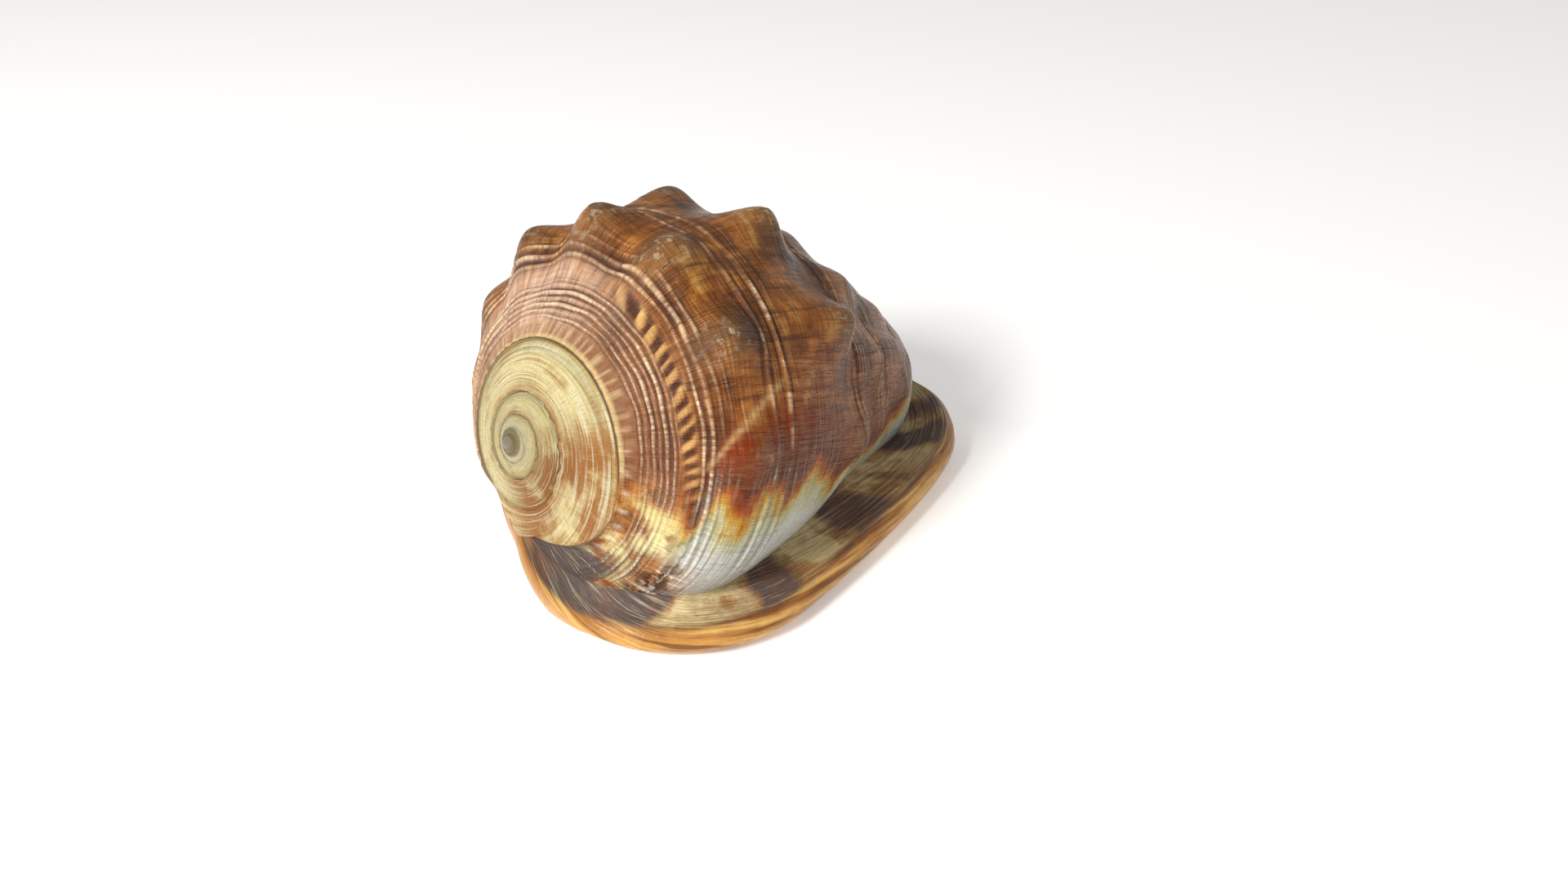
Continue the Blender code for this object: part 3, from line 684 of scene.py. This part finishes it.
for share, paint in (
        (put("ValToRGB", patch, stops=((.48, 0.0), (.62, .65))), "#b8743a"),
        (put("ValToRGB", lump, stops=((.32, .55), (.46, 0.0))), "#5d3c2c"),
        (put("ValToRGB", streaks, stops=((.32, .75), (.47, 0.0))), "#4a2a1a"),
        (put("Math", put("ValToRGB", streaks, stops=((.55, 0.0), (.74, .6))), some,
             operation="MULTIPLY"), "#cf9c5a"),
        (put("Math", put("ValToRGB", growth_line, stops=((.30, .8), (.50, 0.0))), some,
             operation="MULTIPLY"), "#50301f"),
        (put("Math", put("ValToRGB", thread, stops=((.28, .7), (.44, 0.0))),
             put("MapRange", patch, 0.60, 0.42), operation="MULTIPLY"), "#44261a"),
        (put("Math", put("ValToRGB", thread, stops=((.56, 0.0), (.74, .5))), some,
             operation="MULTIPLY"), "#d0a268"),
        (put("MapRange", kept["across"], 0.16, 0.08, 0.0, 0.55), "#a07254"),
        (put("Math", kept["light_ramp"], put("MapRange", streaks, 0.62, 0.40, 0.35, 1.0),
             operation="MULTIPLY"), "#e4bd9e"),
        (put("MapRange", kept["pale"], -4.5, -1.5, 0.0, 0.45), "#763409"),
        # Dark groove lines with painted shade, then cream crests with a painted highlight.
        (groove_line_and_shade, "#452a26"),
        (crest, "#f0d2ab"),
        (put("Math", gap_share, 0.9, operation="MULTIPLY"), "#452820"),
        (put("Math", bar_share, put("MapRange", patch, 0.4, 0.6, 0.95, 0.5), operation="MULTIPLY"),
         "#dcae6a"),
        (put("Math", kept["pleat"], 0.5, operation="MULTIPLY"), "#946847"),
        (put("Math", pleat_top, 0.6, operation="MULTIPLY"), "#dcbb8c"),
        (put("MapRange", kept["across"], 0.014, 0.007, 0.0, 0.85), "#e6c78c"),
        (put("MapRange", kept["across"], 0.005, 0.002, 0.0, 0.9), "#4c3320"),
        # Painted shade after each knob, then a painted highlight before it.
        (put("MapRange", kept["knob_shade_highlight"], 0.1, 0.9, 0.0, 0.75), "#3d251b"),
        (put("MapRange", kept["knob_shade_highlight"], -0.1, -0.9, 0.0, 0.5), "#ad6a34"),
        (put("MapRange", kept["knob"], 0.25, 0.95, 0.0, 0.55), "#75583a"),
        # Painted glints on the knob tops.
        (put("Math", painted_knob_glint, 0.55, operation="MULTIPLY"), "#b9ab8c"),
        (put("Math", kept["orange"], put("MapRange", patch, 0.62, 0.42, 0.0, 0.95),
             operation="MULTIPLY"), "#7b3009"),
        (put("Math", kept["orange"], put("ValToRGB", patch, stops=((.60, 0.0), (.70, .6))),
             operation="MULTIPLY"), "#dcae78"),
        (put("Math", kept["rest_line"], 0.65, operation="MULTIPLY"), "#c9a26b")):
    chestnut = put("Mix", share, chestnut, paint, data_type="RGBA")

# Pale stripe: a ragged edge of red-brown, orange and gold, then grey-white ribs. Its
# rear part is cream with orange-brown clouds, brown streaks and a purple-grey stain.
edge_place = put("Math", kept["pale"], put("MapRange", mottle, 0.3, 0.7, -0.55, 0.55))
edge_ramp = put("MapRange", edge_place, -1.6, 1.2)
stripe = put("ValToRGB", edge_ramp, stops=((.0, "#6c3010"), (.28, "#5e2409"), (.44, "#a04b12"),
                                           (.56, "#c29430"), (.70, "#bdb98c"), (1.0, "#cfd0ca")))
cream = put("ValToRGB", edge_ramp, stops=((.0, "#8a4a22"), (.30, "#b87435"), (.50, "#e6c878"),
                                          (1.0, "#f2e3a4")))
stripe = put("Mix", kept["rear"], stripe, cream, data_type="RGBA")
cloud = put("Math", kept["rear"], put("ValToRGB", patch, stops=((.41, 0.0), (.51, .9))),
            operation="MULTIPLY")
dark_streak = put("Math", kept["streak"], put("ValToRGB", lump, stops=((.47, 1.0), (.54, 0.0))),
                  operation="MULTIPLY")
for share, paint in (
        (cloud, "#a2591f"),
        (put("Math", kept["rear"], put("ValToRGB", lump, stops=((.54, 0.0), (.62, .7))),
             operation="MULTIPLY"), "#6b3412"),
        (put("Math", put("ValToRGB", thread, stops=((.30, .6), (.50, 0.0))),
             put("MapRange", kept["rear"], 1.0, 0.0, 0.3, 1.0), operation="MULTIPLY"), "#8a836c"),
        (put("ValToRGB", growth_line, stops=((.30, .35), (.48, 0.0))), "#a5793f"),
        (put("Math", kept["streak"], put("ValToRGB", streaks, stops=((.50, .9), (.58, 0.0))),
             operation="MULTIPLY"), "#a8621f"),
        (dark_streak, "#44240f"),
        # Painted highlight on the rib crests, then painted shade in the grooves between them.
        (put("Math", crest, 0.7, operation="MULTIPLY"), "#ece7cf"),
        (put("Math", groove_line_and_shade, 0.7, operation="MULTIPLY"), "#776c58"),
        (put("Math", kept["blot"], put("MapRange", growth_line, 0.74, 0.56), operation="MULTIPLY"),
         "#5a4d49")):
    stripe = put("Mix", share, stripe, paint, data_type="RGBA")
back_colour = put("Mix", put("MapRange", edge_place, -1.9, -1.0), chestnut, stripe, data_type="RGBA")

# Spire: pale cream whorls with raised threads, warm brown on one side, a grey band
# beside the next suture, a dark suture line and a smooth grey tip.
SPIRE_CLOUD_SCALE = (1.5, 2.2, 5.0)
SPIRE_THREAD_SCALE = (1.2, 24.0, 5.0)
SPIRE_LINE_SCALE = (70.0, 5.0, 5.0)
spire_cloud = put("TexNoise", put("VectorMath", grown, SPIRE_CLOUD_SCALE, operation="MULTIPLY"),
                  1.0, 3.0, 0.55)
spire_thread = put("TexNoise", put("VectorMath", grown, SPIRE_THREAD_SCALE, operation="MULTIPLY"),
                   1.0, 2.0, 0.5)
spire_line = put("TexNoise", put("VectorMath", grown, SPIRE_LINE_SCALE, operation="MULTIPLY"),
                 1.0, 2.0, 0.6)
spire_colour = put("ValToRGB", kept["across"], stops=(
    (0.0, "#cda062"), (.10, "#ecc88c"), (.35, "#fcebac"), (.75, "#f8e7a4"), (.92, "#cdc596"),
    (.975, "#dcc98a"), (1.0, "#5a4426")))
warm_share = put("Math", kept["warm"], put("ValToRGB", patch, stops=((.40, .15), (.54, .95))),
                 operation="MULTIPLY")
tip_colour = put("ValToRGB", kept["apex"], stops=((0.0, "#d2ccbe"), (.17, "#c4bca8"), (.23, "#7d6d4e"),
                                                  (.44, "#95865f"), (.50, "#f1e8c4")))
for share, paint in (
        (put("ValToRGB", spire_cloud, stops=((.56, 0.0), (.68, .6))), "#b98443"),
        (warm_share, "#a55f1c"),
        (put("ValToRGB", spire_thread, stops=((.36, .6), (.48, 0.0))), "#b0803f"),
        (put("ValToRGB", spire_thread, stops=((.52, 0.0), (.66, .75))), "#f4ebc6"),
        (put("ValToRGB", spire_line, stops=((.34, .35), (.50, 0.0))), "#9c7640"),
        (put("ValToRGB", spire_line, stops=((.55, 0.0), (.75, .25))), "#f1e6bd"),
        (put("ValToRGB", kept["across"], stops=((0.0, 1.0), (.030, 0.0))), "#4c3a22"),
        (put("MapRange", kept["apex"], 0.90, 0.50, 0.0, 0.75), tip_colour)):
    spire_colour = put("Mix", share, spire_colour, paint, data_type="RGBA")

# Underside: tan flange with purple-grey blots, orange-brown rim, cream teeth with dark
# gaps, dark hollow, and the salmon shield.
under_colour = put("ValToRGB", put("Math", kept["section"], 19.0, operation="DIVIDE"), stops=(
    (.0, "#e4cf9c"), (.092, "#dabf8a"), (.108, "#6f4628"), (.126, "#b3793f"), (.17, "#c9934a"),
    (.25, "#b67a3c"), (.34, "#e8cfa2"), (.42, "#b5602f"), (.53, "#6a3018"), (.66, "#b5602f"),
    (.74, "#e8c79a"), (.80, "#dd9a63"), (.90, "#d08250"), (.96, "#c79a68"), (1.0, "#a5693a")))
flange_part = put("MapRange", kept["section"], 2.35, 1.9)
blot_place = put("Math", kept["blot"], put("MapRange", mottle, 0.35, 0.65, -0.22, 0.22))
rim_part = put("Math", put("MapRange", kept["section"], 1.8, 2.3),
               put("MapRange", kept["section"], 4.4, 3.6), operation="MULTIPLY")
RIM_LINE_SCALE = (12.0, 5.0, 1.0)
rim_line = put("TexNoise", put("VectorMath", grown, RIM_LINE_SCALE, operation="MULTIPLY"), 1.0, 3.0, 0.6)
slit_part = put("Math", put("MapRange", kept["section"], 5.2, 6.0), put("MapRange", kept["section"], 15.6, 14.8),
                operation="MULTIPLY")
slit_part = put("Math", slit_part, put("MapRange", put("Math", put("Math", kept["section"], 10.0,
                operation="SUBTRACT"), operation="ABSOLUTE"), 2.2, 3.2), operation="MULTIPLY")
for share, paint in (
        (put("Math", put("ValToRGB", mottle, stops=((.50, 0.0), (.60, .8))), flange_part,
             operation="MULTIPLY"), "#b5854a"),
        (put("Math", put("MapRange", blot_place, 0.05, 0.35, 0.0, 0.7), flange_part,
             operation="MULTIPLY"), "#9c6a38"),
        (put("Math", put("MapRange", blot_place, 0.30, 0.60), flange_part, operation="MULTIPLY"), "#625550"),
        (put("Math", put("ValToRGB", growth_line, stops=((.36, .35), (.50, 0.0))), flange_part,
             operation="MULTIPLY"), "#6a4c36"),
        (put("Math", put("ValToRGB", growth_line, stops=((.52, 0.0), (.68, .5))), flange_part,
             operation="MULTIPLY"), "#e6d8b4"),
        (put("ValToRGB", patch, stops=((.46, 0.0), (.62, .35))), "#8a4f24"),
        (put("Math", rim_part, put("ValToRGB", rim_line, stops=((.38, .85), (.49, 0.0))),
             operation="MULTIPLY"), "#6a3d20"),
        (put("Math", rim_part, put("ValToRGB", rim_line, stops=((.52, 0.0), (.62, .8))),
             operation="MULTIPLY"), "#dcb266"),
        (put("Math", slit_part, put("MapRange", kept["tooth"], 0.1, 0.7, 0.0, 0.85),
             operation="MULTIPLY"), "#f0e3c4"),
        (put("Math", slit_part, put("MapRange", kept["tooth"], -0.1, -0.7, 0.0, 0.85),
             operation="MULTIPLY"), "#6b3018")):
    under_colour = put("Mix", share, under_colour, paint, data_type="RGBA")
colour = put("Mix", kept["below"], back_colour, under_colour, data_type="RGBA")
colour = put("Mix", kept["on_spire"], colour, spire_colour, data_type="RGBA")

# Surface: the same grains raise it a little, so highlights break up as on real shell.
surface = tree.nodes.new("ShaderNodeBsdfPrincipled")
tree.links.new(colour, surface.inputs["Base Color"])
tree.links.new(put("MapRange", growth_line, 0.35, 0.65, 0.30, 0.14), surface.inputs["Roughness"])
surface.inputs["IOR"].default_value = 1.53
surface.inputs["Specular IOR Level"].default_value = 0.18
above = put("Math", 1.0, kept["below"], operation="SUBTRACT")
fine = put("Math", put("Math", growth_line, 0.7, operation="MULTIPLY"),
           put("Math", thread, above, operation="MULTIPLY"))
fine = put("Math", fine, put("Math", growth_line, put("Math", flange_part, 2.0, operation="MULTIPLY"),
                              operation="MULTIPLY"))
spire_ridge = put("Math", put("Math", spire_thread, kept["on_spire"], operation="MULTIPLY"), 3.2,
                  operation="MULTIPLY")
relief = put("Math", put("Math", fine, put("Math", lump, 1.5, operation="MULTIPLY")), spire_ridge)
bump = tree.nodes.new("ShaderNodeBump")
bump.inputs["Strength"].default_value = 0.8
bump.inputs["Distance"].default_value = 0.0009
tree.links.new(relief, bump.inputs["Height"])
tree.links.new(bump.outputs["Normal"], surface.inputs["Normal"])
tree.links.new(surface.outputs["BSDF"], tree.nodes.new("ShaderNodeOutputMaterial").inputs["Surface"])
mesh.materials.append(material)
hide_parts("shell")
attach(shell, "root")

# Studio. A pale seamless sweep under two large soft lamps and a white sky.
FLOOR_COLOUR = "#f4f2ee"
FLOOR_GLOW = 0.28
floor_mesh = bpy.data.meshes.new("studio_floor")
reach = 3.0
floor_mesh.from_pydata([(-reach, -reach, 0), (reach, -reach, 0), (reach, reach, 0), (-reach, reach, 0)],
                       [], [(0, 1, 2, 3)])
floor = bpy.data.objects.new("studio_floor", floor_mesh)
bpy.context.scene.collection.objects.link(floor)
floor_material = bpy.data.materials.new("white_paper_sweep")
floor_material.use_nodes = True
paper = floor_material.node_tree.nodes["Principled BSDF"]
paper.inputs["Base Color"].default_value = linear(FLOOR_COLOUR)
paper.inputs["Roughness"].default_value = 0.9
paper.inputs["Emission Color"].default_value = linear("#ffffff")
paper.inputs["Emission Strength"].default_value = FLOOR_GLOW
floor_mesh.materials.append(floor_material)

world = bpy.data.worlds.new("white_room")
world.use_nodes = True
world.node_tree.nodes["Background"].inputs["Color"].default_value = linear("#ffffff")
world.node_tree.nodes["Background"].inputs["Strength"].default_value = 0.40
bpy.context.scene.world = world
bpy.context.scene.view_settings.view_transform = "Standard"

CAMERA_PITCH = math.radians(32.0)
CAMERA_TURN = math.radians(-46.6)
FOCAL_PIXELS = 1500.0
APEX_PIXEL = (621.6, 542.6)
APEX_SCALE = 4.9
FRAME_PIXELS = (1920, 1080)
SENSOR_WIDTH = 36.0

right = np.array([math.cos(CAMERA_TURN), math.sin(CAMERA_TURN), 0])
level = np.array([-math.sin(CAMERA_TURN), math.cos(CAMERA_TURN), 0])
up_image = level * math.sin(CAMERA_PITCH) + np.array([0, 0, math.cos(CAMERA_PITCH)])
forward = level * math.cos(CAMERA_PITCH) - np.array([0, 0, math.sin(CAMERA_PITCH)])
distance = FOCAL_PIXELS / APEX_SCALE
offset_right = (APEX_PIXEL[0] - FRAME_PIXELS[0] / 2) / FOCAL_PIXELS
offset_up = -(APEX_PIXEL[1] - FRAME_PIXELS[1] / 2) / FOCAL_PIXELS
apex_point = np.array([-BOX_MIDDLE[0], -BOX_MIDDLE[1], APEX_HEIGHT])
eye = apex_point - distance * (forward + offset_right * right + offset_up * up_image)


def aim(thing, place, look_right, look_up, look_forward):
    """Places an object and turns it to look along a direction."""
    matrix = np.eye(4)
    matrix[:3, 0], matrix[:3, 1], matrix[:3, 2] = look_right, look_up, -np.asarray(look_forward)
    matrix[:3, 3] = place
    thing.matrix_world = Matrix(matrix.tolist())


def soft_lamp(name, place, target, size, power):
    """Square area lamp at a place, facing a target."""
    data = bpy.data.lights.new(name, "AREA")
    data.size = size
    data.energy = power
    lamp = bpy.data.objects.new(name, data)
    bpy.context.scene.collection.objects.link(lamp)
    ahead = np.array(target, float) - np.array(place, float)
    ahead /= np.linalg.norm(ahead)
    side = np.cross(ahead, [0, 0, 1.0])
    side /= np.linalg.norm(side)
    aim(lamp, place, side, np.cross(side, ahead), ahead)


soft_lamp("key_lamp", (-1.05, -0.10, 0.80), (0, 0, 0.04), 0.30, 19.0)
soft_lamp("fill_lamp", (0.30, -1.20, 0.60), (0, 0, 0.04), 0.60, 0.5)
camera_data = bpy.data.cameras.new("camera")
camera_data.sensor_width = SENSOR_WIDTH
camera_data.lens = FOCAL_PIXELS * SENSOR_WIDTH / FRAME_PIXELS[0]
camera_data.clip_start = 0.01
camera = bpy.data.objects.new("camera", camera_data)
bpy.context.scene.collection.objects.link(camera)
aim(camera, eye * MM, right, up_image, forward)
bpy.context.scene.camera = camera
